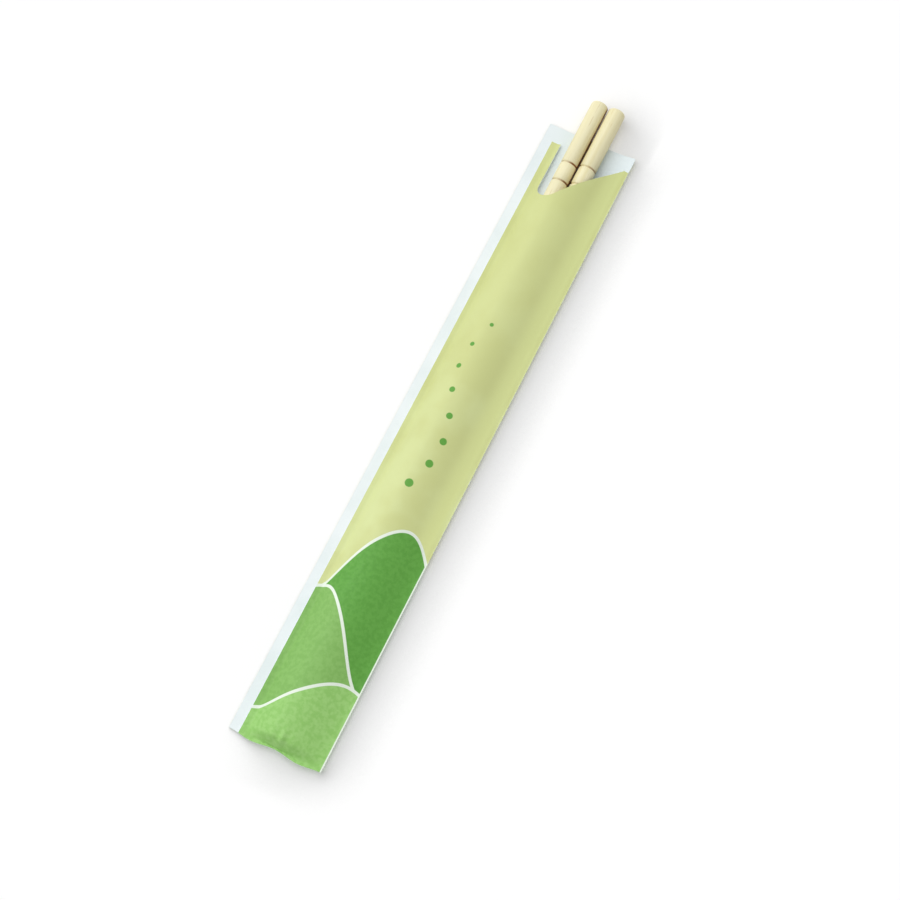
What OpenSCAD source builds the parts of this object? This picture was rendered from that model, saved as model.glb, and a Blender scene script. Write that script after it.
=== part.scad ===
// A pair of round bamboo chopsticks in a folded paper sleeve, lying on its back panel.
// Sizes are in millimetres. Y runs from the sleeve's closed end to the heads of the chopsticks.

/* [Chopsticks] */
// Length of each chopstick
stick_length = 230; // [200:1:250]
// Diameter of the straight grip
stick_diameter = 5.8; // [5:0.1:6.6]
// Diameter at the eating tip
tip_diameter = 3.6; // [2.4:0.1:4.6]
// Length of the straight grip, from the head to the start of the taper
grip_length = 110; // [90:1:130]
// Rounding of the rim at the head
head_round = 0.9; // [0.3:0.1:1.6]
// Rounding of the rim at the tip
tip_round = 0.8; // [0.3:0.1:1.1]

/* [Turned rings] */
// Number of rings turned into each chopstick
ring_count = 2; // [1:1:4]
// Distance from the head to the first ring
ring_from_head = 24; // [12:0.5:40]
// Distance from one ring to the next
ring_pitch = 7; // [3:0.5:12]
// How much lower the rings sit on the left chopstick than on the right one
ring_stagger = 1.2; // [0:0.1:3]
// Width of a ring's V groove
ring_width = 0.9; // [0.4:0.1:2]
// Depth of a ring's V groove
ring_depth = 0.45; // [0.2:0.05:0.8]

/* [Paper sleeve] */
// Width of the back panel, from its free edge to the fold
sleeve_width = 30.7; // [29:0.1:40]
// Length of the back panel, from the closed end to its top edge
sleeve_length = 222.5; // [190:0.5:228]
// Thickness of the paper
paper = 0.12; // [0.08:0.01:0.25]
// Strip of the back panel that the front panel leaves bare
bare_strip = 3.2; // [1:0.1:5]
// Width of the glued side seam
seam_width = 2; // [1:0.1:3]
// Half width of the back panel that lies flat under the chopsticks
flat_half_width = 6.5; // [6.2:0.1:9]
// Height to which the back panel's free edge springs up
free_lift = 0.3; // [0:0.1:2.5]
// Height to which the fold springs up
fold_lift = 1.6; // [0:0.1:3]
// Place of the front panel's crest, from the centre line
crest_offset = -1; // [-2.5:0.1:2.5]
// Fullness of the front panel between the seam and the crest, where less is fuller
seam_fullness = 1.2; // [1:0.05:2]
// Fullness of the front panel between the crest and the fold, where less is fuller
fold_fullness = 1.7; // [1:0.05:2.5]

/* [Mouth] */
// Distance from the back panel's top edge down to the front panel's two ends
front_drop = 5.7; // [2:0.1:12]
// Width of the tongue left standing beside the notch
tongue_width = 3.2; // [3.1:0.1:5]
// Depth of the notch below the back panel's top edge
notch_depth = 26.6; // [16:0.1:45]
// Radius of the notch's round bottom
notch_radius = 3.6; // [1.5:0.1:4.5]
// Width of the front panel's short end beside the fold
fold_tab = 1.6; // [0.8:0.1:4]
// Share of the front panel's rise that the tongue keeps at its end
tongue_spring = 0.25; // [0:0.05:1]

/* [Closed end] */
// Room between the tips and the closed end
end_room = 4.5; // [3:0.1:10]
// Width of the glued band across the closed end
end_seal = 1.2; // [0.8:0.1:2]
// Height by which the glued band arches above its own two corners
end_arch_height = 1; // [0:0.1:1.5]
// How far the closed end draws in at its corners and its middle
end_wave = 0.8; // [0:0.1:1.5]

/* [Fit] */
// Gap between the two chopsticks
pair_gap = 0.3; // [0.1:0.05:1]
// Gap under each chopstick, where it lies on the paper
rest_gap = 0.05; // [0.02:0.01:0.2]
// Room between the chopsticks and the front panel over them
drape_gap = 0.15; // [0.1:0.05:0.6]

/* [Hidden] */
$fn = 64;

// Facets of the sleeve: columns across the notch and the slanted edge, rows along the sleeve
notch_columns = 9;
slant_columns = 24;
closing_rows = 6;
middle_rows = 12;
mouth_rows = 6;
// Width over which the straight side of the notch is cut
cut_width = 0.05;
// Length of paper kept below the notch before the rows follow the mouth
mouth_margin = 3;
// Angles at which the front panel is held clear of each chopstick
drape_angles = [0 : 15 : 90];
// Facets of a rounded rim on a chopstick's profile
rim_steps = 6;

// Places along the sleeve
total_length = end_room + stick_length;
y_end = -total_length / 2;
y_tip = y_end + end_room;
y_head = y_end + total_length;
y_back = y_end + sleeve_length;
y_front = y_back - front_drop;
y_common = y_back - notch_depth - mouth_margin;
y_flat = y_tip + end_room;

// Places across the sleeve
x_free = -sleeve_width / 2;
x_fold = sleeve_width / 2;
x_seam = x_free + bare_strip;
x_foot = x_seam + seam_width;
x_tongue = x_seam + tongue_width;
x_pinch = x_fold - 2 * paper;
x_tab = x_fold - fold_tab;

// The chopsticks lie side by side on the back panel
stick_r = stick_diameter / 2;
tip_r = tip_diameter / 2;
stick_x = stick_r + pair_gap / 2;
stick_z = paper + rest_gap + stick_r;

// Outline of the mouth: a round notch, then a slanted edge that touches the notch's circle
notch_x = x_tongue + cut_width + notch_radius;
notch_y = y_back - notch_depth + notch_radius;
slant_run = [x_tab - notch_x, y_front - notch_y];
slant_angle = atan2(slant_run.y, slant_run.x) + asin(notch_radius / norm(slant_run));
slant_x = notch_x + notch_radius * sin(slant_angle);

function smooth(s) = let (q = min(max(s, 0), 1)) q * q * (3 - 2 * q);

// Radius of a chopstick at a place along the sleeve
function stick_radius(y) =
    let (share = (y - y_tip) / (stick_length - grip_length))
    tip_r + (stick_r - tip_r) * min(max(share, 0), 1);

// Shape of the front panel across the sleeve, from 0 at the seam and the fold to 1 at the crest
function bow(x) =
    x <= x_foot || x >= x_pinch ? 0
    : x < crest_offset ? pow(1 - pow((crest_offset - x) / (crest_offset - x_foot), 2), seam_fullness)
    : pow(1 - pow((x - crest_offset) / (x_pinch - crest_offset), 2), fold_fullness);

// Height of the back panel where it lies free: flat in the middle, sprung up towards both edges
function spring(x) =
    x < -flat_half_width ? free_lift * pow((x + flat_half_width) / (x_free + flat_half_width), 2)
    : x > flat_half_width ? fold_lift * pow((x - flat_half_width) / (x_fold - flat_half_width), 2)
    : 0;

// Height of the glued band across the closed end
function band_z(x) =
    free_lift + (fold_lift - free_lift) * (x - x_free) / sleeve_width + end_arch_height * bow(x);

// Height of the back panel's underside, which rises to the glued band in front of the tips
function under_z(x, y) = spring(x) + (band_z(x) - spring(x)) * smooth((y_tip - y) / end_room);

// Height of the straight line from the seam to the fold, on which the front panel is bowed
function chord(x, y) =
    let (left = under_z(x_foot, y), right = under_z(x_pinch, y))
    left + (right - left) * (x - x_foot) / (x_pinch - x_foot);

// Least rise of the crest at which the front panel clears both chopsticks
function crest_rise(y) =
    let (r = stick_radius(y) + drape_gap)
    max([for (side = [-1, 1], a = drape_angles)
        let (x = side * (stick_x + r * cos(a)))
        (stick_z - paper + r * sin(a) - chord(x, y)) / bow(x)]);

// Share of the front panel's height over the back panel, from 0 at the glued band to 1 over the tips
function opening(y) = sin(90 * min(max((y - y_end - end_seal) / (end_room - end_seal), 0), 1));

// Share of the front panel's rise that is left: the tongue beside the notch lies down towards its end
function tongue_share(x, y) =
    x > x_tongue ? 1 : 1 - (1 - tongue_spring) * smooth((y - notch_y) / (y_front - notch_y));

// Heights of the back panel's upper face and of the front panel's two faces
function floor_z(x, y) = under_z(x, y) + paper;
function inner_z(x, y) =
    x <= x_foot || x >= x_pinch ? floor_z(x, y)
    : let (raised = chord(x, y) + crest_rise(y) * bow(x) * tongue_share(x, y))
        floor_z(x, y) + (raised - under_z(x, y)) * opening(y);
function outer_z(x, y) =
    let (step = paper, slope = (inner_z(x + step, y) - inner_z(x - step, y)) / (2 * step))
    x >= x_fold ? floor_z(x, y) : inner_z(x, y) + paper * norm([1, slope]);

// Where the front panel ends, and where the closed end lies, at a place across the sleeve
function mouth_y(x) =
    x <= x_tongue || x >= x_tab ? y_front
    : x < slant_x ? notch_y - sqrt(max(pow(notch_radius, 2) - pow(x - notch_x, 2), 0))
    : notch_y - notch_radius * cos(slant_angle) + (x - slant_x) * tan(slant_angle);
function wave_y(x) = end_wave * (1 + cos(720 * x / sleeve_width)) / 2;

// Columns across the sleeve, from the back panel's free edge to the fold
notch_turn = 90 + slant_angle;
columns = concat(
    [x_free, (x_free + x_seam) / 2, x_seam, x_foot, (x_foot + x_tongue) / 2, x_tongue],
    [for (i = [0 : notch_columns]) notch_x - notch_radius * cos(notch_turn * i / notch_columns)],
    [for (i = [1 : slant_columns]) slant_x + (x_tab - slant_x) * i / slant_columns],
    [(x_tab + x_pinch) / 2, x_pinch, x_fold]);
last = len(columns) - 1;
seam_column = 2;
foot_column = 3;
pinch_column = last - 1;
middle_column = round((foot_column + pinch_column) / 2);
// The flat part of the underside lies between these two columns
flat_first = min([for (c = [0 : last]) if (columns[c] >= -flat_half_width) c]);
flat_last = max([for (c = [0 : last]) if (columns[c] <= flat_half_width) c]);

// Rows along the sleeve: the glued band, the closing stretch, the middle, the mouth and the bare top
seal_row = 1;
tip_row = seal_row + closing_rows;
common_row = tip_row + middle_rows;
front_row = common_row + mouth_rows;
back_row = front_row + 1;
function row_y(x, row) =
    row == 0 ? y_end + wave_y(x)
    : row <= tip_row ? let (d = end_seal + (end_room - end_seal) * (row - seal_row) / closing_rows)
        y_end + d + wave_y(x) * (1 - d / end_room)
    : row <= common_row ? y_tip + (y_common - y_tip) * (row - tip_row) / middle_rows
    : row <= front_row ? y_common + (mouth_y(x) - y_common) * (row - common_row) / mouth_rows
    : y_back;

// The paper's four faces are grids over the same columns and rows, joined along shared edges
width = last + 1;
grid = width * (back_row + 1);
function spot(face, c, r) = face * grid + r * width + c;
function under(c, r) = spot(0, c, r);
function floor_at(c, r) = spot(1, c, r);
function inner(c, r) =
    c <= foot_column || c >= pinch_column || r <= seal_row ? floor_at(c, r) : spot(2, c, r);
function outer(c, r) = c == last ? floor_at(c, r) : spot(3, c, r);
function fan(corners) = [for (i = [1 : len(corners) - 2]) [corners[0], corners[i], corners[i + 1]]];
function four(a, b, c, d) = fan([a, b, c, d]);

sleeve_points = concat(
    [for (face = [0 : 3], r = [0 : back_row], x = columns)
        let (y = row_y(x, r))
        [x, y, face == 0 ? under_z(x, y) : face == 1 ? floor_z(x, y)
            : face == 2 ? inner_z(x, y) : outer_z(x, y)]],
    [[columns[flat_first], y_flat, 0], [columns[flat_last], y_flat, 0]]);
flat_left = 4 * grid;
flat_right = flat_left + 1;

front_faces = [for (c = [seam_column : last - 1], r = [0 : front_row - 1])
    each four(outer(c, r), outer(c, r + 1), outer(c + 1, r + 1), outer(c + 1, r))];
inside_faces = [for (c = [foot_column : pinch_column - 1], r = [seal_row : front_row - 1])
    each concat(
        c < middle_column ? four(inner(c, r), inner(c + 1, r), inner(c + 1, r + 1), inner(c, r + 1))
            : four(inner(c + 1, r), inner(c + 1, r + 1), inner(c, r + 1), inner(c, r)),
        four(floor_at(c, r), floor_at(c, r + 1), floor_at(c + 1, r + 1), floor_at(c + 1, r)))];
bare_faces = concat(
    [for (c = [0 : seam_column - 1], r = [0 : back_row - 1])
        each four(floor_at(c, r), floor_at(c, r + 1), floor_at(c + 1, r + 1), floor_at(c + 1, r))],
    [for (c = [seam_column : last - 1])
        each four(floor_at(c, front_row), floor_at(c, back_row),
            floor_at(c + 1, back_row), floor_at(c + 1, front_row))]);
seam_faces = [for (r = [0 : front_row - 1])
    each four(floor_at(seam_column, r), floor_at(seam_column, r + 1),
        outer(seam_column, r + 1), outer(seam_column, r))];
mouth_faces = [for (c = [seam_column : last - 1])
    each four(outer(c, front_row), inner(c, front_row), inner(c + 1, front_row), outer(c + 1, front_row))];
under_faces = concat(
    [for (c = [0 : last - 1], r = [0 : tip_row - 1])
        each four(under(c, r), under(c + 1, r), under(c + 1, r + 1), under(c, r + 1))],
    [for (c = [0 : last - 1]) if (c < flat_first - 1 || c > flat_last)
        each four(under(c, tip_row), under(c + 1, tip_row), under(c + 1, back_row), under(c, back_row))],
    fan([under(flat_first - 1, tip_row), under(flat_first, tip_row), flat_left,
        under(flat_first, back_row), under(flat_first - 1, back_row)]),
    fan([under(flat_last + 1, tip_row), under(flat_last + 1, back_row), under(flat_last, back_row),
        flat_right, under(flat_last, tip_row)]),
    [for (c = [flat_first : flat_last - 1]) [flat_left, under(c, tip_row), under(c + 1, tip_row)]],
    fan([flat_left, under(flat_last, tip_row), flat_right, under(flat_last, back_row)]),
    fan([flat_left, each [for (c = [flat_last : -1 : flat_first]) under(c, back_row)]]));
free_edge_faces = concat(
    [for (r = [0 : tip_row - 1])
        each four(under(0, r), under(0, r + 1), floor_at(0, r + 1), floor_at(0, r))],
    fan([under(0, back_row), each [for (r = [back_row : -1 : tip_row]) floor_at(0, r)], under(0, tip_row)]));
fold_faces = concat(
    [for (r = [0 : tip_row - 1])
        each four(under(last, r), floor_at(last, r), floor_at(last, r + 1), under(last, r + 1))],
    fan([under(last, back_row), under(last, tip_row),
        each [for (r = [tip_row : back_row]) floor_at(last, r)]]));
end_faces = concat(
    [for (c = [0 : seam_column - 1])
        each four(under(c, 0), floor_at(c, 0), floor_at(c + 1, 0), under(c + 1, 0))],
    fan([under(foot_column, 0), under(seam_column, 0), floor_at(seam_column, 0),
        outer(seam_column, 0), outer(foot_column, 0)]),
    [for (c = [foot_column : last - 1])
        each four(under(c, 0), outer(c, 0), outer(c + 1, 0), under(c + 1, 0))]);
top_faces = [for (c = [0 : last - 1])
    each four(under(c, back_row), under(c + 1, back_row), floor_at(c + 1, back_row), floor_at(c, back_row))];

// A face whose corners run together has no area and is left out
sleeve_faces = [for (f = concat(front_faces, inside_faces, bare_faces, seam_faces, mouth_faces,
        under_faces, free_edge_faces, fold_faces, end_faces, top_faces))
    if (f[0] != f[1] && f[1] != f[2] && f[2] != f[0]) f];

// Half section of a chopstick, as distance from the axis and from the head
function rim(r, along, round, side) = [for (i = [0 : rim_steps])
    let (a = side > 0 ? 90 * i / rim_steps : 90 - 90 * i / rim_steps)
    [r - round + round * sin(a), along + side * round * (1 - cos(a))]];
function ring(along) = [
    [stick_r, along - ring_width / 2],
    [stick_r - ring_depth, along],
    [stick_r, along + ring_width / 2]];
function half_section(first_ring) = concat(
    [[0, 0]],
    rim(stick_r, 0, head_round, 1),
    [for (i = [0 : ring_count - 1]) each ring(first_ring + i * ring_pitch)],
    [[stick_r, grip_length]],
    rim(tip_r, stick_length, tip_round, -1),
    [[0, stick_length]]);

module chopstick(side, first_ring) {
    translate([side * stick_x, y_head, stick_z])
        rotate([90, 0, 0])
            rotate_extrude() polygon(half_section(first_ring));
}

module paper_sleeve() {
    color("#D5DE9B") polyhedron(points = sleeve_points, faces = sleeve_faces, convexity = 6);
}

module left_chopstick() {
    color("#EADFB4") chopstick(-1, ring_from_head + ring_stagger / 2);
}

module right_chopstick() {
    color("#EDE3BB") chopstick(1, ring_from_head - ring_stagger / 2);
}

paper_sleeve();
left_chopstick();
right_chopstick();
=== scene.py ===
"""Looks of a pair of round bamboo chopsticks in a printed paper sleeve.

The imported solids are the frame. Sizes repeat the part's own values in millimetres, so that each piece that
stands for a solid keeps its form. Y runs from the sleeve's closed end to the heads of the chopsticks.
"""

from __future__ import annotations

import logging
import math
from dataclasses import dataclass, field
from enum import Enum
from typing import Union

import bpy
import numpy as np
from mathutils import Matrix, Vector

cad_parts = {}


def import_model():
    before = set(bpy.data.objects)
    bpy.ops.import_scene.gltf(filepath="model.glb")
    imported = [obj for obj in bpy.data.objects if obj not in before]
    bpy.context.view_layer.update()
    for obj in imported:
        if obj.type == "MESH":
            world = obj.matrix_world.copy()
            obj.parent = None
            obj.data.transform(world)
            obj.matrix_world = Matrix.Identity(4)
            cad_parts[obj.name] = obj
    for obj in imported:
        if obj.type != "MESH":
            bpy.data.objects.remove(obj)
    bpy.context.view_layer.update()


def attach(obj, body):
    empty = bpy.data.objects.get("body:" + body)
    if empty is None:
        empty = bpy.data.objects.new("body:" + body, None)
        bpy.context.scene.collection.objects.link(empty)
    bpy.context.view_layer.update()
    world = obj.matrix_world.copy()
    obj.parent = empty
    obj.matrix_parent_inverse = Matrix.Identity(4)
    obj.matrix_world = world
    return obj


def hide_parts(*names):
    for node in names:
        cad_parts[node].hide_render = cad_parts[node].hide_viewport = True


MM = 0.001
BODY = "root"
WHITE = (1.0, 1.0, 1.0, 1.0)
BLACK = (0.0, 0.0, 0.0, 1.0)

log = logging.getLogger("chopsticks")

Colour = tuple[float, float, float, float]
Span = tuple[float, float]
Socket = bpy.types.NodeSocket
Value = Union[Socket, float, Colour, tuple[float, float, float]]


class Side(Enum):
    """Which of the two chopsticks a piece is, as the sign of its place across the sleeve."""

    LEFT = -1
    RIGHT = 1


class SheetMaterial(Enum):
    """Material slots of the folded sheet."""

    PRINTED = 0
    BARE = 1


class ColourMix(Enum):
    """Sockets of a Mix node that belong to colours."""

    SHARE = 0
    FIRST = 6
    SECOND = 7
    RESULT = 2


def srgb(red: int, green: int, blue: int) -> Colour:
    """Turns a colour as it looks on a screen into the linear colour that shaders take.

    Args:
        red: Red, from 0 to 255.
        green: Green, from 0 to 255.
        blue: Blue, from 0 to 255.

    Returns:
        The linear colour with full alpha.
    """

    def linear(level: int) -> float:
        """One channel in linear light."""
        share = level / 255
        return share / 12.92 if share <= 0.04045 else ((share + 0.055) / 1.055) ** 2.4

    return linear(red), linear(green), linear(blue), 1.0


def smooth(share: np.ndarray) -> np.ndarray:
    """A share held between 0 and 1, with soft ends."""
    held = np.clip(share, 0, 1)
    return held * held * (3 - 2 * held)


class ShaderGraph:
    """A material's node tree, with short calls for the nodes that the finishes use."""

    def __init__(self, name: str) -> None:
        """Starts a material that holds one Principled shader.

        Args:
            name: The material's name.
        """
        self.material = bpy.data.materials.new(name)
        self.material.use_nodes = True
        self.tree = self.material.node_tree
        self.shader = self.tree.nodes["Principled BSDF"]

    def add(self, kind: str, **settings: object) -> bpy.types.Node:
        """Adds a node.

        Args:
            kind: The node's type.
            **settings: Properties of the node.

        Returns:
            The new node.
        """
        node = self.tree.nodes.new(kind)
        for name, value in settings.items():
            setattr(node, name, value)
        return node

    def feed(self, entry: Socket, value: Value) -> None:
        """Links an output to an input, or sets the input to a constant.

        Args:
            entry: The input.
            value: The output or the constant.
        """
        if isinstance(value, bpy.types.NodeSocket):
            self.tree.links.new(value, entry)
        else:
            entry.default_value = value

    def math(self, operation: str, *values: Value) -> Socket:
        """Adds a sum, product or other operation on numbers.

        Args:
            operation: The operation's name.
            *values: Its inputs in order.

        Returns:
            The result.
        """
        node = self.add("ShaderNodeMath", operation=operation)
        for entry, value in zip(node.inputs, values):
            self.feed(entry, value)
        return node.outputs[0]

    def mix(self, share: Value, first: Value, second: Value) -> Socket:
        """Adds a mix of two colours.

        Args:
            share: How much of the second colour shows.
            first: The first colour.
            second: The second colour.

        Returns:
            The mixed colour.
        """
        node = self.add("ShaderNodeMix", data_type="RGBA")
        self.feed(node.inputs[ColourMix.SHARE.value], share)
        self.feed(node.inputs[ColourMix.FIRST.value], first)
        self.feed(node.inputs[ColourMix.SECOND.value], second)
        return node.outputs[ColourMix.RESULT.value]

    def ramp(self, value: Value, low: float, high: float, start: float = 0.0, end: float = 1.0) -> Socket:
        """Adds a soft step between two places of a value.

        Args:
            value: The value.
            low: Where the step begins.
            high: Where the step ends.
            start: The result before the step.
            end: The result after the step.

        Returns:
            The stepped value.
        """
        node = self.add("ShaderNodeMapRange", interpolation_type="SMOOTHSTEP")
        for name, number in (("From Min", low), ("From Max", high), ("To Min", start), ("To Max", end)):
            node.inputs[name].default_value = number
        self.feed(node.inputs["Value"], value)
        return node.outputs[0]

    def measure(self, name: str) -> bpy.types.Node:
        """A value that the mesh holds at each of its points."""
        return self.add("ShaderNodeAttribute", attribute_name=name)

    def sheet_places(self) -> tuple[Socket, Socket]:
        """Places on the flat sheet, in millimetres.

        Returns:
            The place across from the fold and the place along from the closed end.
        """
        split = self.add("ShaderNodeSeparateXYZ")
        self.feed(split.inputs[0], self.measure("sheet").outputs["Vector"])
        return split.outputs[0], split.outputs[1]

    def relief(self, height: Socket, strength: float, depth: float) -> None:
        """Gives the surface a fine relief.

        Args:
            height: The relief's height, from 0 to 1.
            strength: How much of it shows.
            depth: Its depth in metres.
        """
        node = self.add("ShaderNodeBump")
        node.inputs["Strength"].default_value = strength
        node.inputs["Distance"].default_value = depth
        self.feed(node.inputs["Height"], height)
        self.feed(self.shader.inputs["Normal"], node.outputs[0])


@dataclass(frozen=True)
class Grain:
    """A noise pattern on a surface, drawn out along the sleeve, and the part of its range that shows."""

    scale: float
    low: float
    high: float
    along: float = 1.0
    detail: float = 3.0

    def noise(self, graph: ShaderGraph) -> Socket:
        """Adds the pattern to a material.

        Args:
            graph: The material's graph.

        Returns:
            The pattern, from 0 to 1.
        """
        place = graph.add("ShaderNodeVectorMath", operation="MULTIPLY")
        graph.feed(place.inputs[0], graph.add("ShaderNodeTexCoord").outputs["Object"])
        graph.feed(place.inputs[1], (1, self.along, 1))
        pattern = graph.add("ShaderNodeTexNoise")
        graph.feed(pattern.inputs["Vector"], place.outputs[0])
        pattern.inputs["Scale"].default_value = self.scale
        pattern.inputs["Detail"].default_value = self.detail
        return pattern.outputs[0]

    def patches(self, graph: ShaderGraph, start: float = 0.0, end: float = 1.0) -> Socket:
        """Adds the pattern to a material as soft patches.

        Args:
            graph: The material's graph.
            start: The result between the patches.
            end: The result in the patches.

        Returns:
            The patches.
        """
        return graph.ramp(self.noise(graph), self.low, self.high, start, end)


@dataclass(frozen=True)
class PaperFibre:
    """Fine fibres, alike on both sides of the paper. The depth is in metres."""

    grain: Grain = Grain(2600.0, 0.3, 0.7, along=0.45)
    strength: float = 0.12
    depth: float = 0.00005

    def press(self, graph: ShaderGraph, roughness: Span) -> None:
        """Gives a side of the paper its relief and its uneven gloss.

        Args:
            graph: The material's graph.
            roughness: The least and the most roughness.
        """
        fibre = self.grain.noise(graph)
        rough = graph.ramp(fibre, self.grain.low, self.grain.high, *roughness)
        graph.feed(graph.shader.inputs["Roughness"], rough)
        graph.relief(fibre, self.strength, self.depth)


@dataclass(frozen=True)
class BarePaper:
    """Unprinted side of the sleeve's paper. Near the mouth it is greyer and greener, partly print showing
    through and partly painted shade.

    Spans are in millimetres on the flat sheet, across from the fold and along from the closed end.
    """

    name: str = "bare_paper"
    pale: Colour = srgb(241, 248, 251)
    deep: Colour = srgb(234, 243, 245)
    # Partly show-through of the print, partly painted shade inside the mouth.
    show_through_and_shade: Colour = srgb(226, 236, 239)
    show_through_and_shade_along: Span = (186.0, 210.0)
    show_through_and_shade_across: Span = (23.0, 28.5)
    strip_share: float = 0.45
    cloud: Grain = Grain(90.0, 0.35, 0.68)
    fibre: PaperFibre = PaperFibre()
    roughness: Span = (0.66, 0.8)

    def material(self) -> bpy.types.Material:
        """Makes the material: cool white with faint clouding, fine fibres and a greyer tint near the mouth,
        partly show-through and partly painted shade.

        Returns:
            The material.
        """
        graph = ShaderGraph(self.name)
        across, along = graph.sheet_places()
        near_mouth = graph.ramp(along, *self.show_through_and_shade_along)
        off_strip = graph.ramp(across, *self.show_through_and_shade_across, 1.0, self.strip_share)
        white = graph.mix(self.cloud.patches(graph), self.pale, self.deep)
        # Near the mouth and off the bare strip the white gets a greyer tint: partly show-through, partly
        # painted shade.
        colour = graph.mix(graph.math("MULTIPLY", near_mouth, off_strip), white, self.show_through_and_shade)
        graph.feed(graph.shader.inputs["Base Color"], colour)
        self.fibre.press(graph, self.roughness)
        return graph.material


@dataclass(frozen=True)
class Hill:
    """One printed hill, whose upper edge is a wave across the flat sheet. Sizes are in millimetres."""

    height: float
    swing: float
    crest: float
    pale: Colour
    deep: Colour


@dataclass(frozen=True)
class PrintedPaper:
    """Printed side of the sleeve's paper: rolling hills and a row of dots on a pale lime ground.

    Sizes are in millimetres on the flat sheet, across from the fold and along from the closed end.
    """

    name: str = "printed_paper"
    ground_pale: Colour = srgb(207, 214, 146)
    ground_deep: Colour = srgb(202, 208, 138)
    ground_low: Colour = srgb(213, 222, 158)
    ground_fade: Span = (70.0, 180.0)
    # Painted light: a paler band of ground beside the fold.
    ground_painted_light: Colour = srgb(218, 226, 154)
    painted_light_starts: Span = (0.5, 2.4)
    painted_light_ends: Span = (4.0, 9.0)
    keyline: Colour = srgb(232, 242, 228)
    dot: Colour = srgb(91, 158, 56)
    keyline_width: float = 0.95
    fold_margin: float = 0.55
    edge: float = 0.08
    wave_length: float = 62.0
    crack_width: float = 0.35
    dots_from: float = 86.0
    dots_to: float = 151.6
    dot_pitch: float = 8.2
    dot_radius: float = 1.35
    dot_shrink: float = 0.1
    dot_place: float = -17.0
    dot_swing: float = 3.6
    dot_turn: float = 0.9
    hills: tuple[Hill, ...] = (
        Hill(60.0, 17.0, -9.0, srgb(95, 163, 62), srgb(86, 154, 53)),
        Hill(38.0, 14.0, -27.0, srgb(134, 186, 97), srgb(125, 178, 88)),
        Hill(18.0, 9.0, -4.0, srgb(155, 206, 117), srgb(141, 196, 101)),
    )
    cloud: Grain = Grain(60.0, 0.35, 0.65)
    cloud_share: float = 0.8
    mottle: Grain = Grain(750.0, 0.36, 0.64, detail=5.0)
    wear: Grain = Grain(900.0, 0.3, 0.55)
    fibre: PaperFibre = PaperFibre()
    roughness: Span = (0.58, 0.72)

    def painted_light_band(self, graph: ShaderGraph, across: Socket, below: Socket) -> Socket:
        """Paints light on the ground: a little paler in a band beside the fold.

        Args:
            graph: The material's graph.
            across: Places across the flat sheet.
            below: The colour printed so far.

        Returns:
            The colour with the band of painted light over it.
        """
        from_fold = graph.math("ABSOLUTE", across)
        begun = graph.ramp(from_fold, *self.painted_light_starts)
        left = graph.ramp(from_fold, *self.painted_light_ends, 1.0, 0.0)
        return graph.mix(graph.math("MULTIPLY", begun, left), below, self.ground_painted_light)

    def printed_dots(self, graph: ShaderGraph, sheet: tuple[Socket, Socket], below: Socket) -> Socket:
        """Prints a winding row of dots that get smaller towards the mouth.

        Args:
            graph: The material's graph.
            sheet: Places across and along the flat sheet.
            below: The colour printed so far.

        Returns:
            The colour with the dots over it.
        """
        across, along = sheet
        place = graph.math("DIVIDE", graph.math("SUBTRACT", along, self.dots_from), self.dot_pitch)
        number = graph.math("FLOOR", place)
        from_middle = graph.math("SUBTRACT", graph.math("SUBTRACT", place, number), 0.5)
        up = graph.math("MULTIPLY", from_middle, self.dot_pitch)
        turned = graph.math("SINE", graph.math("MULTIPLY", number, self.dot_turn))
        winding = graph.math("MULTIPLY_ADD", turned, self.dot_swing, self.dot_place)
        aside = graph.math("SUBTRACT", across, winding)
        squares = graph.math("MULTIPLY_ADD", up, up, graph.math("MULTIPLY", aside, aside))
        radius = graph.math("MULTIPLY_ADD", number, -self.dot_shrink, self.dot_radius)
        depth = graph.math("SUBTRACT", radius, graph.math("SQRT", squares))
        after_first = graph.math("GREATER_THAN", along, self.dots_from)
        before_last = graph.math("LESS_THAN", along, self.dots_to)
        row = graph.math("MULTIPLY", after_first, before_last)
        shown = graph.math("MULTIPLY", graph.ramp(depth, -self.edge, self.edge), row)
        return graph.mix(shown, below, self.dot)

    def printed_hill(self, graph: ShaderGraph, hill: Hill, sheet: tuple[Socket, Socket], mottle: Socket,
                     below: Socket) -> Socket:
        """Prints one hill and its keyline over what is printed already, a little short of the fold.

        Args:
            graph: The material's graph.
            hill: The hill.
            sheet: Places across and along the flat sheet.
            mottle: Mottling of the ink, from 0 to 1.
            below: The colour printed so far.

        Returns:
            The colour with the hill over it.
        """
        across, along = sheet
        turn = 2 * math.pi / self.wave_length
        angle = graph.math("MULTIPLY", graph.math("SUBTRACT", across, hill.crest), turn)
        upper = graph.math("MULTIPLY_ADD", graph.math("COSINE", angle), hill.swing, hill.height)
        slope = graph.math("MULTIPLY", graph.math("SINE", angle), hill.swing * turn)
        steepness = graph.math("SQRT", graph.math("MULTIPLY_ADD", slope, slope, 1.0))
        depth = graph.math("DIVIDE", graph.math("SUBTRACT", upper, along), steepness)
        lined = graph.mix(graph.ramp(depth, -self.edge, self.edge), below, self.keyline)
        ink = graph.mix(mottle, hill.pale, hill.deep)
        inner = self.keyline_width
        from_fold = graph.math("ADD", graph.math("ABSOLUTE", across), inner - self.fold_margin)
        inked = graph.math("MINIMUM", depth, from_fold)
        return graph.mix(graph.ramp(inked, inner - self.edge, inner + self.edge), lined, ink)

    def worn_fold(self, graph: ShaderGraph, across: Socket, below: Socket) -> Socket:
        """Shows the paper through cracked ink along the fold.

        Args:
            graph: The material's graph.
            across: Places across the flat sheet.
            below: The colour printed so far.

        Returns:
            The colour with the worn fold over it.
        """
        crack = graph.ramp(graph.math("ABSOLUTE", across), 0.0, self.crack_width, 1.0, 0.0)
        worn = graph.math("MULTIPLY", crack, self.wear.patches(graph))
        return graph.mix(worn, below, self.keyline)

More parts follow.
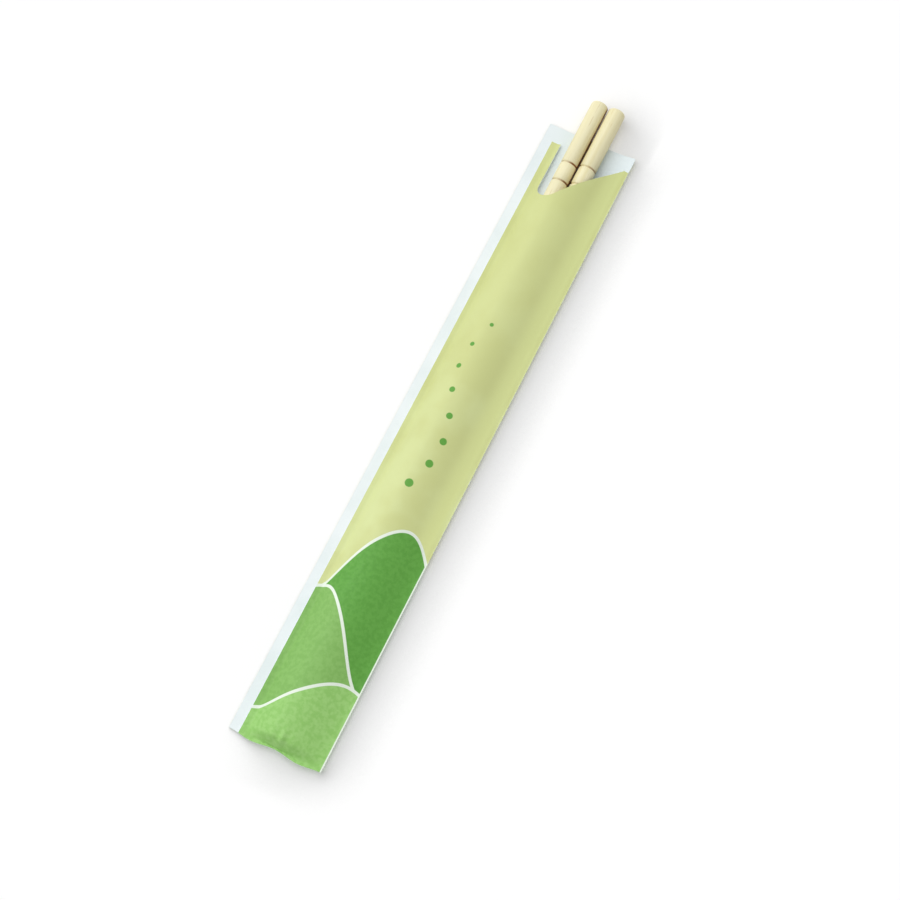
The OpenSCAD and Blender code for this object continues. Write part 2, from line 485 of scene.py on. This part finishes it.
    def material(self) -> bpy.types.Material:
        """Makes the material: mottled inks on fine paper, with cracked ink along the fold.

        Returns:
            The material.
        """
        graph = ShaderGraph(self.name)
        sheet = graph.sheet_places()
        pale = graph.mix(graph.ramp(sheet[1], *self.ground_fade), self.ground_low, self.ground_pale)
        clouded = graph.math("MULTIPLY", self.cloud.patches(graph), self.cloud_share)
        colour = graph.mix(clouded, pale, self.ground_deep)
        # Painted light: a paler band of ground beside the fold.
        colour = self.painted_light_band(graph, sheet[0], colour)
        colour = self.printed_dots(graph, sheet, colour)
        mottle = self.mottle.patches(graph)
        for hill in self.hills:
            colour = self.printed_hill(graph, hill, sheet, mottle, colour)
        colour = self.worn_fold(graph, sheet[0], colour)
        graph.feed(graph.shader.inputs["Base Color"], colour)
        self.fibre.press(graph, self.roughness)
        return graph.material


@dataclass(frozen=True)
class TurnedBamboo:
    """Bare turned bamboo, with burnt lines in its rings and painted shade in them and between the sticks. The
    depth is in metres.
    """

    name: str = "turned_bamboo"
    pale: Colour = srgb(238, 231, 191)
    deep: Colour = srgb(228, 217, 165)
    fleck: Colour = srgb(194, 166, 106)
    burn_and_shade: Colour = srgb(140, 80, 8)
    end: Colour = srgb(226, 212, 166)
    streaks: Grain = Grain(900.0, 0.3, 0.72, along=0.02, detail=4.0)
    bands: Grain = Grain(160.0, 0.3, 0.7, along=0.05)
    band_least: float = 0.35
    flecks: Grain = Grain(2200.0, 0.64, 0.74, along=0.06, detail=2.0)
    fleck_share: float = 0.4
    pores: Grain = Grain(3600.0, 0.5, 0.66, along=0.3, detail=2.0)
    end_least: float = 0.35
    burn_and_shade_patches: Grain = Grain(300.0, 0.3, 0.6)
    burn_and_shade_patches_least: float = 0.55
    roughness: Span = (0.5, 0.64)
    strength: float = 0.25
    depth: float = 0.00006

    def material(self) -> bpy.types.Material:
        """Makes the material: lengthwise fibres, short flecks, rings and gap darkened by burn and painted
        shade, and a darker end grain.

        Returns:
            The material.
        """
        graph = ShaderGraph(self.name)
        streak = self.streaks.patches(graph)
        share = graph.math("MULTIPLY", streak, self.bands.patches(graph, self.band_least, 1.0))
        colour = graph.mix(share, self.pale, self.deep)
        fleck = graph.math("MULTIPLY", self.flecks.patches(graph), self.fleck_share)
        colour = graph.mix(fleck, colour, self.fleck)
        porous = graph.ramp(self.pores.patches(graph), 0.0, 1.0, self.end_least, 1.0)
        cut = graph.math("MULTIPLY", graph.measure("cut_end").outputs["Fac"], porous)
        colour = graph.mix(cut, colour, self.end)
        # The burn colour also paints shade: on the rings' right sides and down the gap between the sticks.
        patchy_burn_and_shade = self.burn_and_shade_patches.patches(graph, self.burn_and_shade_patches_least, 1.0)
        burnt_and_shaded = graph.math("MULTIPLY", graph.measure("burn_and_shade").outputs["Fac"], patchy_burn_and_shade)
        colour = graph.mix(burnt_and_shaded, colour, self.burn_and_shade)
        graph.feed(graph.shader.inputs["Base Color"], colour)
        graph.feed(graph.shader.inputs["Roughness"], graph.ramp(streak, 0.0, 1.0, *self.roughness))
        graph.relief(streak, self.strength, self.depth)
        return graph.material


def put_mesh(name: str, points: np.ndarray, faces: list[tuple[int, ...]]) -> bpy.types.Object:
    """Makes a smooth object from points in millimetres.

    Args:
        name: The object's name.
        points: Its points, one row each.
        faces: Its faces, as numbers of points.

    Returns:
        The object, which rides on the part's one body.
    """
    mesh = bpy.data.meshes.new(name)
    mesh.from_pydata((points * MM).tolist(), [], faces)
    mesh.validate()
    mesh.shade_smooth()
    piece = bpy.data.objects.new(name, mesh)
    bpy.context.scene.collection.objects.link(piece)
    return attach(piece, BODY)


@dataclass
class Chopstick:
    """One turned chopstick. Sizes are in millimetres.

    The rings carry a mark that is partly burn and partly painted shade: it is darkest on the right side,
    where shade falls, and less on the right stick. A line of painted shade runs down the side that faces the
    other stick.
    """

    side: Side
    length: float = 230.0
    diameter: float = 5.8
    tip_diameter: float = 3.6
    grip_length: float = 110.0
    head_round: float = 0.9
    tip_round: float = 0.8
    ring_count: int = 2
    ring_from_head: float = 24.0
    ring_pitch: float = 7.0
    ring_stagger: float = 1.2
    ring_width: float = 0.9
    ring_depth: float = 0.45
    ring_hollow: float = 1.15
    head_y: float = 117.25
    pair_gap: float = 0.3
    rest_height: float = 0.17
    # The rings' mark of burn and painted shade spreads over the groove and darkens towards the right side,
    # where shade falls; a line of painted shade runs down the side in the gap.
    burn_and_shade_reach: float = 2.0
    lit_side_burn_share: float = 0.22
    right_stick_burn_and_shade: float = 0.6
    right_shade_from: float = -0.5
    right_shade_blur: float = 1.1
    gap_shade_from: float = 0.89
    gap_shade_blur: float = 0.07
    end_ring: float = 0.6
    segments: int = 96
    rim_steps: int = 9
    ring_steps: int = 10
    shaft_steps: int = 24

    @property
    def tip_y(self) -> float:
        """Place of the tip along the sleeve."""
        return self.head_y - self.length

    @property
    def offset(self) -> float:
        """Distance of the axis from the sleeve's middle."""
        return self.diameter / 2 + self.pair_gap / 2

    @property
    def axis_z(self) -> float:
        """Height of the axis."""
        return self.rest_height + self.diameter / 2

    def radius_at(self, y: np.ndarray) -> np.ndarray:
        """Radius of the stick at a place along the sleeve."""
        share = np.clip((y - self.tip_y) / (self.length - self.grip_length), 0, 1)
        return (self.tip_diameter + (self.diameter - self.tip_diameter) * share) / 2

    def profile(self) -> np.ndarray:
        """Half section of the stick, from the middle of the head to the middle of the tip.

        Returns:
            Radius, distance from the head, burn and painted shade of the rings, and cut end of each place.
        """
        grip, tip = self.diameter / 2, self.tip_diameter / 2
        quarter = math.pi / 2
        places = [(0.0, 0.0, 0.0, 1.0), ((grip - self.head_round) * self.end_ring, 0.0, 0.0, 1.0)]
        for angle in np.linspace(0, quarter, self.rim_steps):
            radius = grip - self.head_round * (1 - math.sin(angle))
            places.append((radius, self.head_round * (1 - math.cos(angle)), 0.0, 1 - angle / quarter))
        first = self.ring_from_head - self.side.value * self.ring_stagger / 2
        # Each groove gets a mark of burn and painted shade, deepest at its bottom.
        for number in range(self.ring_count):
            for share in np.linspace(-1, 1, self.ring_steps + 1):
                depth = max(1 - abs(share), 0.0) ** self.ring_hollow
                along = first + number * self.ring_pitch + share * self.ring_width / 2
                places.append((grip - self.ring_depth * depth, along, min(1.0, depth * self.burn_and_shade_reach), 0.0))
        for share in np.linspace(0, 1, self.shaft_steps):
            along = self.grip_length + (self.length - self.tip_round - self.grip_length) * share
            places.append((grip + (tip - grip) * share, along, 0.0, 0.0))
        for angle in np.linspace(quarter, 0, self.rim_steps)[1:]:
            radius = tip - self.tip_round * (1 - math.sin(angle))
            along = self.length - self.tip_round * (1 - math.cos(angle))
            places.append((radius, along, 0.0, 1 - angle / quarter))
        places.append((0.0, self.length, 0.0, 1.0))
        return np.array(places)

    def turned_faces(self, rings: int) -> list[tuple[int, ...]]:
        """Faces of the turned stick: a fan on the head, bands along the stick and a fan on the tip.

        Args:
            rings: Number of rings of points between the middles of the head and the tip.

        Returns:
            The faces, as numbers of points.
        """
        ahead = [(n + 1) % self.segments for n in range(self.segments)]
        faces: list[tuple[int, ...]] = [(0, 1 + n, 1 + ahead[n]) for n in range(self.segments)]
        for ring in range(rings - 1):
            near, far = 1 + ring * self.segments, 1 + (ring + 1) * self.segments
            faces += [(near + n, far + n, far + ahead[n], near + ahead[n]) for n in range(self.segments)]
        last, end = 1 + (rings - 1) * self.segments, 1 + rings * self.segments
        return faces + [(last + n, end, last + ahead[n]) for n in range(self.segments)]

    def build(self) -> bpy.types.Object:
        """Turns the half section about the stick's axis.

        Returns:
            The stick, with its burn and painted shade and its cut ends as values at each point.
        """
        profile = self.profile()
        head, rings, tip = profile[0], profile[1:-1], profile[-1]
        turns = np.linspace(0, 2 * math.pi, self.segments, endpoint=False)
        rightward = np.cos(turns)
        # Painted shade: the rings' mark grows from the left side to the right side of each stick, and a
        # painted shade line runs down the side that faces the other stick.
        strength = self.right_stick_burn_and_shade if self.side is Side.RIGHT else 1.0
        share = smooth((rightward - self.right_shade_from) / self.right_shade_blur)
        uneven = strength * (self.lit_side_burn_share + (1 - self.lit_side_burn_share) * share)
        painted_gap_shade = smooth((-self.side.value * rightward - self.gap_shade_from) / self.gap_shade_blur)
        points = [(0.0, -head[1], 0.0)]
        values = [tuple(head[2:])]
        for radius, along, burn_and_shade, cut in rings:
            points += [(radius * math.cos(turn), -along, radius * math.sin(turn)) for turn in turns]
            values += [(mark, cut) for mark in np.maximum(burn_and_shade * uneven, painted_gap_shade * (1 - cut))]
        points.append((0.0, -tip[1], 0.0))
        values.append(tuple(tip[2:]))
        placed = np.array(points) + (self.side.value * self.offset, self.head_y, self.axis_z)
        piece = put_mesh(f"{self.side.name.lower()}_turned_stick", placed, self.turned_faces(len(rings)))
        for name, column in zip(("burn_and_shade", "cut_end"), np.array(values, np.float32).T):
            mark = piece.data.attributes.new(name, "FLOAT", "POINT")
            mark.data.foreach_set("value", column.copy())
        return piece

    def dress(self, piece: bpy.types.Object, bamboo: bpy.types.Material) -> None:
        """Gives the stick its bamboo and puts it in the solid's place.

        Args:
            piece: The turned stick.
            bamboo: The material that both sticks share.
        """
        piece.data.materials.append(bamboo)
        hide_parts(f"{self.side.name.lower()}_chopstick")


@dataclass(frozen=True)
class Unevenness:
    """Small unevenness of the front panel, in millimetres: slow ripples, and a pinch at the closed end.

    Each wave of the ripples has a length along the sleeve, a length across it and a start.
    """

    ripple: float = 0.22
    waves: tuple[tuple[float, float, float], ...] = ((8.3, 6.1, 0.0), (14.7, -4.3, 1.9))
    pinch_depth: float = 0.45
    pinch_place: float = 0.9
    pinch_from_end: float = 3.2
    pinch_length: float = 2.6
    ridge_width: float = 0.75
    valley_place: float = 1.7
    valley_width: float = 0.9
    valley_share: float = 0.8

    def ripples(self, x: np.ndarray, y: np.ndarray) -> np.ndarray:
        """Height of the slow ripples where they are free."""
        swings = [np.sin(y / along + x / across + start) for along, across, start in self.waves]
        return self.ripple * (1 + sum(swings) / len(swings)) / 2

    def pinch(self, x: np.ndarray, from_end: np.ndarray) -> np.ndarray:
        """Height of the pinch, a ridge between two valleys.

        Args:
            x: Places across the sleeve.
            from_end: Distances from the closed end.

        Returns:
            The height at each place.
        """
        near = np.exp(-(((from_end - self.pinch_from_end) / self.pinch_length) ** 2))
        aside = x - self.pinch_place
        ridge = np.exp(-((aside / self.ridge_width) ** 2))
        right = np.exp(-(((aside - self.valley_place) / self.valley_width) ** 2))
        left = np.exp(-(((aside + self.valley_place) / self.valley_width) ** 2))
        return self.pinch_depth * near * (ridge - self.valley_share * (right + left))


@dataclass
class PaperSleeve:
    """The folded paper sleeve, as one sheet: front panel, fold and back panel. Sizes are in millimetres.

    The rows are counted over the closed end, the middle and the mouth, and the front panel's columns over
    the seam, its foot, the notch, the slanted edge and the short end beside the fold.
    """

    width: float = 30.7
    length: float = 222.5
    paper: float = 0.12
    bare_strip: float = 3.2
    seam_width: float = 2.0
    flat_half_width: float = 6.5
    free_lift: float = 0.3
    fold_lift: float = 1.6
    crest: float = -1.0
    seam_fullness: float = 1.2
    fold_fullness: float = 1.7
    front_drop: float = 5.7
    tongue_width: float = 3.2
    notch_depth: float = 26.6
    notch_radius: float = 3.6
    fold_tab: float = 1.6
    tongue_spring: float = 0.25
    end_room: float = 4.5
    end_seal: float = 1.2
    end_arch: float = 1.0
    end_wave: float = 0.8
    drape_gap: float = 0.15
    drape_angles: tuple[int, ...] = (0, 15, 30, 45, 60, 75, 90)
    cut_width: float = 0.05
    cut_angle: float = 50.0
    mouth_margin: float = 3.0
    rows: tuple[int, int, int] = (16, 96, 36)
    front_steps: tuple[int, int, int, int, int] = (4, 5, 18, 84, 8)
    back_steps: int = 44
    fold_steps: int = 5
    sticks: Chopstick = field(default_factory=lambda: Chopstick(Side.LEFT))
    uneven: Unevenness = Unevenness()
    printed: PrintedPaper = PrintedPaper()
    bare: BarePaper = BarePaper()

    def __post_init__(self) -> None:
        """Works out the places that several methods use."""
        self.y_end = self.sticks.tip_y - self.end_room
        self.y_back = self.y_end + self.length
        self.y_front = self.y_back - self.front_drop
        self.y_common = self.y_back - self.notch_depth - self.mouth_margin
        self.x_free = -self.width / 2
        self.x_fold = self.width / 2
        self.x_seam = self.x_free + self.bare_strip
        self.x_foot = self.x_seam + self.seam_width
        self.x_tongue = self.x_seam + self.tongue_width
        self.x_pinch = self.x_fold - 2 * self.paper
        self.x_turn = self.x_fold - self.paper
        self.x_tab = self.x_fold - self.fold_tab
        self.notch_x = self.x_tongue + self.cut_width + self.notch_radius
        self.notch_y = self.y_back - self.notch_depth + self.notch_radius
        run = (self.x_tab - self.notch_x, self.y_front - self.notch_y)
        self.slant = math.atan2(run[1], run[0]) + math.asin(self.notch_radius / math.hypot(*run))
        self.slant_x = self.notch_x + self.notch_radius * math.sin(self.slant)

    def bow(self, x: np.ndarray) -> np.ndarray:
        """Shape of the front panel across the sleeve.

        Args:
            x: Places across the sleeve.

        Returns:
            The share of the crest's rise, from 0 at the seam and the fold to 1 at the crest.
        """
        left = np.clip((self.crest - x) / (self.crest - self.x_foot), 0, 1)
        right = np.clip((x - self.crest) / (self.x_pinch - self.crest), 0, 1)
        return (1 - left**2) ** self.seam_fullness * (1 - right**2) ** self.fold_fullness

    def spring(self, x: np.ndarray) -> np.ndarray:
        """Height of the back panel where it lies free: flat in the middle, sprung up at both edges.

        Args:
            x: Places across the sleeve.

        Returns:
            The height at each place.
        """
        left = np.clip((x + self.flat_half_width) / (self.x_free + self.flat_half_width), 0, 1)
        right = np.clip((x - self.flat_half_width) / (self.x_fold - self.flat_half_width), 0, 1)
        return self.free_lift * left**2 + self.fold_lift * right**2

    def under(self, x: np.ndarray, y: np.ndarray) -> np.ndarray:
        """Height of the back panel's underside, which rises to the glued band in front of the tips.

        Args:
            x: Places across the sleeve.
            y: Places along the sleeve.

        Returns:
            The height at each place.
        """
        tilt = (self.fold_lift - self.free_lift) * (x - self.x_free) / self.width
        band = self.free_lift + tilt + self.end_arch * self.bow(x)
        lifted = smooth((self.sticks.tip_y - y) / self.end_room)
        return self.spring(x) + (band - self.spring(x)) * lifted

    def chord(self, x: np.ndarray, y: np.ndarray) -> np.ndarray:
        """Height of the straight line from the seam to the fold, on which the front panel is bowed.

        Args:
            x: Places across the sleeve.
            y: Places along the sleeve.

        Returns:
            The height at each place.
        """
        left = self.under(np.full_like(y, self.x_foot), y)
        right = self.under(np.full_like(y, self.x_pinch), y)
        return left + (right - left) * (x - self.x_foot) / (self.x_pinch - self.x_foot)

    def crest_rise(self, y: np.ndarray) -> np.ndarray:
        """Least rise of the crest at which the front panel clears both chopsticks.

        Args:
            y: Places along the sleeve.

        Returns:
            The rise at each place.
        """
        rise = np.zeros_like(y)
        radius = self.sticks.radius_at(y) + self.drape_gap
        for side in Side:
            for angle in np.radians(self.drape_angles):
                x = side.value * (self.sticks.offset + radius * math.cos(angle))
                top = self.sticks.axis_z - self.paper + radius * math.sin(angle)
                rise = np.maximum(rise, (top - self.chord(x, y)) / self.bow(x))
        return rise

    def inner(self, x: np.ndarray, y: np.ndarray) -> np.ndarray:
        """Height of the front panel's inner face.

        Args:
            x: Places across the sleeve.
            y: Places along the sleeve.

        Returns:
            The height at each place.
        """
        laid = smooth((y - self.notch_y) / (self.y_front - self.notch_y))
        tongue = np.where(x > self.x_tongue, 1.0, 1 - (1 - self.tongue_spring) * laid)
        raised = self.chord(x, y) + self.crest_rise(y) * self.bow(x) * tongue
        share = np.clip((y - self.y_end - self.end_seal) / (self.end_room - self.end_seal), 0, 1)
        floor = self.under(x, y) + self.paper
        lifted = floor + (raised - self.under(x, y)) * np.sin(share * math.pi / 2)
        return np.where((x <= self.x_foot) | (x >= self.x_pinch), floor, lifted)

    def outer(self, x: np.ndarray, y: np.ndarray) -> np.ndarray:
        """Height of the front panel's printed face, with its own unevenness behind the glued band.

        Args:
            x: Places across the sleeve.
            y: Places along the sleeve.

        Returns:
            The height at each place.
        """
        slope = (self.inner(x + self.paper, y) - self.inner(x - self.paper, y)) / (2 * self.paper)
        free = smooth((y - self.y_end - self.end_wave - self.end_seal) / self.end_seal)
        uneven = self.uneven.ripples(x, y) * self.bow(x) + self.uneven.pinch(x, y - self.y_end)
        return self.inner(x, y) + self.paper * np.hypot(1, slope) + uneven * free

    def mouth(self, x: float) -> float:
        """Where the front panel ends: tongue, round notch, slanted edge.

        Args:
            x: A place across the sleeve.

        Returns:
            The place along the sleeve.
        """
        if x <= self.x_tongue or x >= self.x_tab:
            return self.y_front
        if x < self.slant_x:
            return self.notch_y - math.sqrt(max(self.notch_radius**2 - (x - self.notch_x) ** 2, 0))
        start = self.notch_y - self.notch_radius * math.cos(self.slant)
        return start + (x - self.slant_x) * math.tan(self.slant)

    def row_places(self, x: float, top: float) -> np.ndarray:
        """Places of the rows along one column of the sheet.

        Args:
            x: The column's place across the sleeve.
            top: Where the column ends.

        Returns:
            One place along the sleeve for each row.
        """
        closing, middle, mouth = self.rows
        wave = self.end_wave * (1 + math.cos(4 * math.pi * x / self.width)) / 2
        near = np.linspace(0, self.end_room, closing + 1)
        tip = self.y_end + self.end_room
        return np.concatenate([
            self.y_end + near + wave * (1 - near / self.end_room),
            np.linspace(tip, self.y_common, middle + 1)[1:],
            np.linspace(self.y_common, top, mouth + 1)[1:],
        ])

    def front_columns(self) -> list[float]:
        """Places of the front panel's columns.

        Returns:
            The places across the sleeve, from the seam to the fold.
        """
        seam, foot, notch, slant, tab = self.front_steps
        turn = np.linspace(0, math.pi / 2 + self.slant, notch)
        return [
            *np.linspace(self.x_seam, self.x_foot, seam),
            *np.linspace(self.x_foot, self.x_tongue, foot)[1:],
            *(self.notch_x - self.notch_radius * np.cos(turn)),
            *np.linspace(self.slant_x, self.x_tab, slant)[1:],
            *np.linspace(self.x_tab, self.x_turn, tab)[1:],
        ]

    def sheet_points(self) -> np.ndarray:
        """The sheet's outer face.

        Returns:
            Columns of points, from the seam over the fold to the free edge.
        """
        columns = []
        for x in self.front_columns():
            y = self.row_places(x, self.mouth(x))
            across = np.full_like(y, x)
            columns.append(np.stack([across, y, self.outer(across, y)], axis=1))
        for step in range(1, self.fold_steps + 1):
            share = step / (self.fold_steps + 1)
            y = self.row_places(self.x_turn, self.y_front + (self.y_back - self.y_front) * share)
            angle = math.pi * (0.5 - share)
            across = np.full_like(y, self.x_turn)
            lift = self.under(across, y) + self.paper * (1 + math.sin(angle))
            columns.append(np.stack([across + self.paper * math.cos(angle), y, lift], axis=1))
        for x in np.linspace(self.x_turn, self.x_free, self.back_steps):
            y = self.row_places(x, self.y_back)
            across = np.full_like(y, x)
            columns.append(np.stack([across, y, self.under(across, y)], axis=1))
        return np.array(columns)

    def flat_places(self, points: np.ndarray) -> np.ndarray:
        """Places on the flat sheet, across from the fold and along from the closed end.

        Args:
            points: The sheet's points in columns.

        Returns:
            One flat place for each point, in millimetres.
        """
        middle = points[:, sum(self.rows[:2]) // 2]
        steps = np.linalg.norm(np.diff(middle[:, [0, 2]], axis=0), axis=1)
        across = np.concatenate([[0], np.cumsum(steps)])
        fold = len(self.front_columns()) + self.fold_steps // 2
        flat = np.zeros_like(points)
        flat[:, :, 0] = (across - across[fold])[:, None]
        flat[:, :, 1] = points[:, :, 1] - self.y_end
        return flat

    def build(self) -> bpy.types.Object:
        """Builds the folded sheet.

        Returns:
            The sheet, with its paper's thickness.
        """
        points = self.sheet_points()
        columns, rows = points.shape[:2]
        faces = [((c + 1) * rows + r, (c + 1) * rows + r + 1, c * rows + r + 1, c * rows + r)
                 for c in range(columns - 1) for r in range(rows - 1)]
        piece = put_mesh("folded_sheet", points.reshape(-1, 3), faces)
        flat = piece.data.attributes.new("sheet", "FLOAT_VECTOR", "POINT")
        flat.data.foreach_set("vector", self.flat_places(points).reshape(-1).astype(np.float32))
        thick = piece.modifiers.new("paper_thickness", "SOLIDIFY")
        thick.thickness = self.paper * MM
        thick.offset = -1
        thick.material_offset = SheetMaterial.BARE.value
        thick.material_offset_rim = SheetMaterial.BARE.value
        edges = piece.modifiers.new("cut_edges", "EDGE_SPLIT")
        edges.split_angle = math.radians(self.cut_angle)
        return piece

    def dress(self, piece: bpy.types.Object) -> None:
        """Gives the sheet its printed and its bare side, and puts it in the solid's place.

        Args:
            piece: The folded sheet.
        """
        finishes = {SheetMaterial.PRINTED: self.printed, SheetMaterial.BARE: self.bare}
        for slot in SheetMaterial:
            piece.data.materials.append(finishes[slot].material())
        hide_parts("paper_sleeve")


@dataclass(frozen=True)
class Studio:
    """Pale floor, soft light and the camera. Sizes are in metres and angles in degrees."""

    floor_size: float = 8.0
    floor_drop: float = 0.0001
    floor_white: float = 0.9
    floor_roughness: float = 0.9
    floor_lift: float = 0.122
    shade_reach: float = 0.0145
    shade_from: tuple[float, float, float] = (-0.75, 0.3, 0.55)
    shade_share: float = 1.4
    shade_most: float = 0.22
    core_span: Span = (0.5, 0.85)
    shade_samples: int = 16
    sky: float = 0.54
    lamp: float = 1.7
    lamp_spread: float = 70.0
    lamp_from: tuple[float, float, float] = (-0.53, 0.22, 0.82)
    azimuth: float = 26.36
    elevation: float = 72.41
    distance: float = 0.5586
    target: tuple[float, float, float] = (0.00495, -0.01033, 0.0)
    lens: float = 72.0
    sensor: float = 36.0

    @staticmethod
    def seen_by_eye(tree: bpy.types.NodeTree) -> Socket:
        """Tells what the camera sees, also in gloss and through glass, from other light.

        Args:
            tree: The node tree of a material or the world.

        Returns:
            One for what the camera sees, and nothing for other light.
        """
        path = tree.nodes.new("ShaderNodeLightPath")
        seen = path.outputs["Is Camera Ray"]
        for name in ("Is Glossy Ray", "Is Transmission Ray"):
            larger = tree.nodes.new("ShaderNodeMath")
            larger.operation = "MAXIMUM"
            tree.links.new(seen, larger.inputs[0])
            tree.links.new(path.outputs[name], larger.inputs[1])
            seen = larger.outputs[0]
        return seen

    def soft_shade(self, graph: ShaderGraph) -> Socket:
        """Adds the broad, faint shade that low light from the upper left leaves beside the part.

        It ends at the core, close to the part, which the lamp's own shadow darkens enough.

        Args:
            graph: The floor's graph.

        Returns:
            The share of light that is missing.
        """
        near = graph.add("ShaderNodeAmbientOcclusion", samples=self.shade_samples)
        near.inputs["Distance"].default_value = self.shade_reach
        lean = graph.add("ShaderNodeCombineXYZ")
        for entry, part in zip(lean.inputs, Vector(self.shade_from).normalized()):
            entry.default_value = part
        graph.feed(near.inputs["Normal"], lean.outputs[0])
        hidden = graph.math("MULTIPLY", graph.math("SUBTRACT", 1.0, near.outputs["AO"]), self.shade_share)
        off_core = graph.ramp(hidden, *self.core_span, 1.0, 0.0)
        return graph.math("MULTIPLY", graph.math("MINIMUM", hidden, self.shade_most), off_core)

    def build_floor(self) -> None:
        """Lays a white floor, a little whiter to the camera than it is lit, which keeps the shadow."""
        half = self.floor_size / 2
        mesh = bpy.data.meshes.new("floor")
        corners = [(-half, -half, 0), (half, -half, 0), (half, half, 0), (-half, half, 0)]
        mesh.from_pydata(corners, [], [(0, 1, 2, 3)])
        floor = bpy.data.objects.new("floor", mesh)
        floor.location.z = -self.floor_drop
        bpy.context.scene.collection.objects.link(floor)
        graph = ShaderGraph("floor_white")
        hidden = self.soft_shade(graph)
        lit = (self.floor_white,) * 3 + (1.0,)
        graph.feed(graph.shader.inputs["Base Color"], graph.mix(hidden, lit, BLACK))
        graph.shader.inputs["Roughness"].default_value = self.floor_roughness
        graph.shader.inputs["Specular IOR Level"].default_value = 0.0
        graph.shader.inputs["Emission Color"].default_value = WHITE
        lift = graph.math("MULTIPLY", self.seen_by_eye(graph.tree), self.floor_lift)
        lift = graph.math("MULTIPLY", lift, graph.math("SUBTRACT", 1.0, hidden))
        graph.feed(graph.shader.inputs["Emission Strength"], lift)
        mesh.materials.append(graph.material)

    def build_light(self) -> None:
        """Sets an even sky and one broad lamp from the upper left."""
        world = bpy.data.worlds.new("studio")
        world.use_nodes = True
        bpy.context.scene.world = world
        tree = world.node_tree
        strength = tree.nodes.new("ShaderNodeMapRange")
        strength.inputs["To Min"].default_value = self.sky
        tree.links.new(self.seen_by_eye(tree), strength.inputs["Value"])
        background = tree.nodes["Background"]
        background.inputs["Color"].default_value = WHITE
        tree.links.new(strength.outputs[0], background.inputs["Strength"])
        data = bpy.data.lights.new("broad_lamp", "SUN")
        data.energy = self.lamp
        data.angle = math.radians(self.lamp_spread)
        lamp = bpy.data.objects.new("broad_lamp", data)
        lamp.rotation_euler = (-Vector(self.lamp_from)).to_track_quat("-Z", "Y").to_euler()
        bpy.context.scene.collection.objects.link(lamp)

    def build_camera(self) -> None:
        """Sets the camera at the photograph's angle."""
        turn, rise = math.radians(self.azimuth), math.radians(self.elevation)
        away = Vector((math.cos(rise) * math.sin(turn), -math.cos(rise) * math.cos(turn), math.sin(rise)))
        data = bpy.data.cameras.new("camera")
        data.lens = self.lens
        data.sensor_width = self.sensor
        camera = bpy.data.objects.new("camera", data)
        camera.location = Vector(self.target) + away * self.distance
        camera.rotation_euler = (-away).to_track_quat("-Z", "Y").to_euler()
        bpy.context.scene.collection.objects.link(camera)
        bpy.context.scene.camera = camera

    def build(self) -> None:
        """Builds the floor, the light and the camera."""
        bpy.context.scene.view_settings.view_transform = "Standard"
        self.build_floor()
        self.build_light()
        self.build_camera()


def main() -> None:
    """Builds the sleeve, the two chopsticks and the studio in that order."""
    logging.basicConfig(level=logging.INFO, format="%(message)s")
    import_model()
    sleeve = PaperSleeve()
    sheet = sleeve.build()
    sleeve.dress(sheet)
    log.info("%s: %d points", sheet.name, len(sheet.data.vertices))
    bamboo = TurnedBamboo().material()
    for side in Side:
        stick = Chopstick(side)
        piece = stick.build()
        stick.dress(piece, bamboo)
        log.info("%s: %d points", piece.name, len(piece.data.vertices))
    Studio().build()


if __name__ == "__main__":
    main()
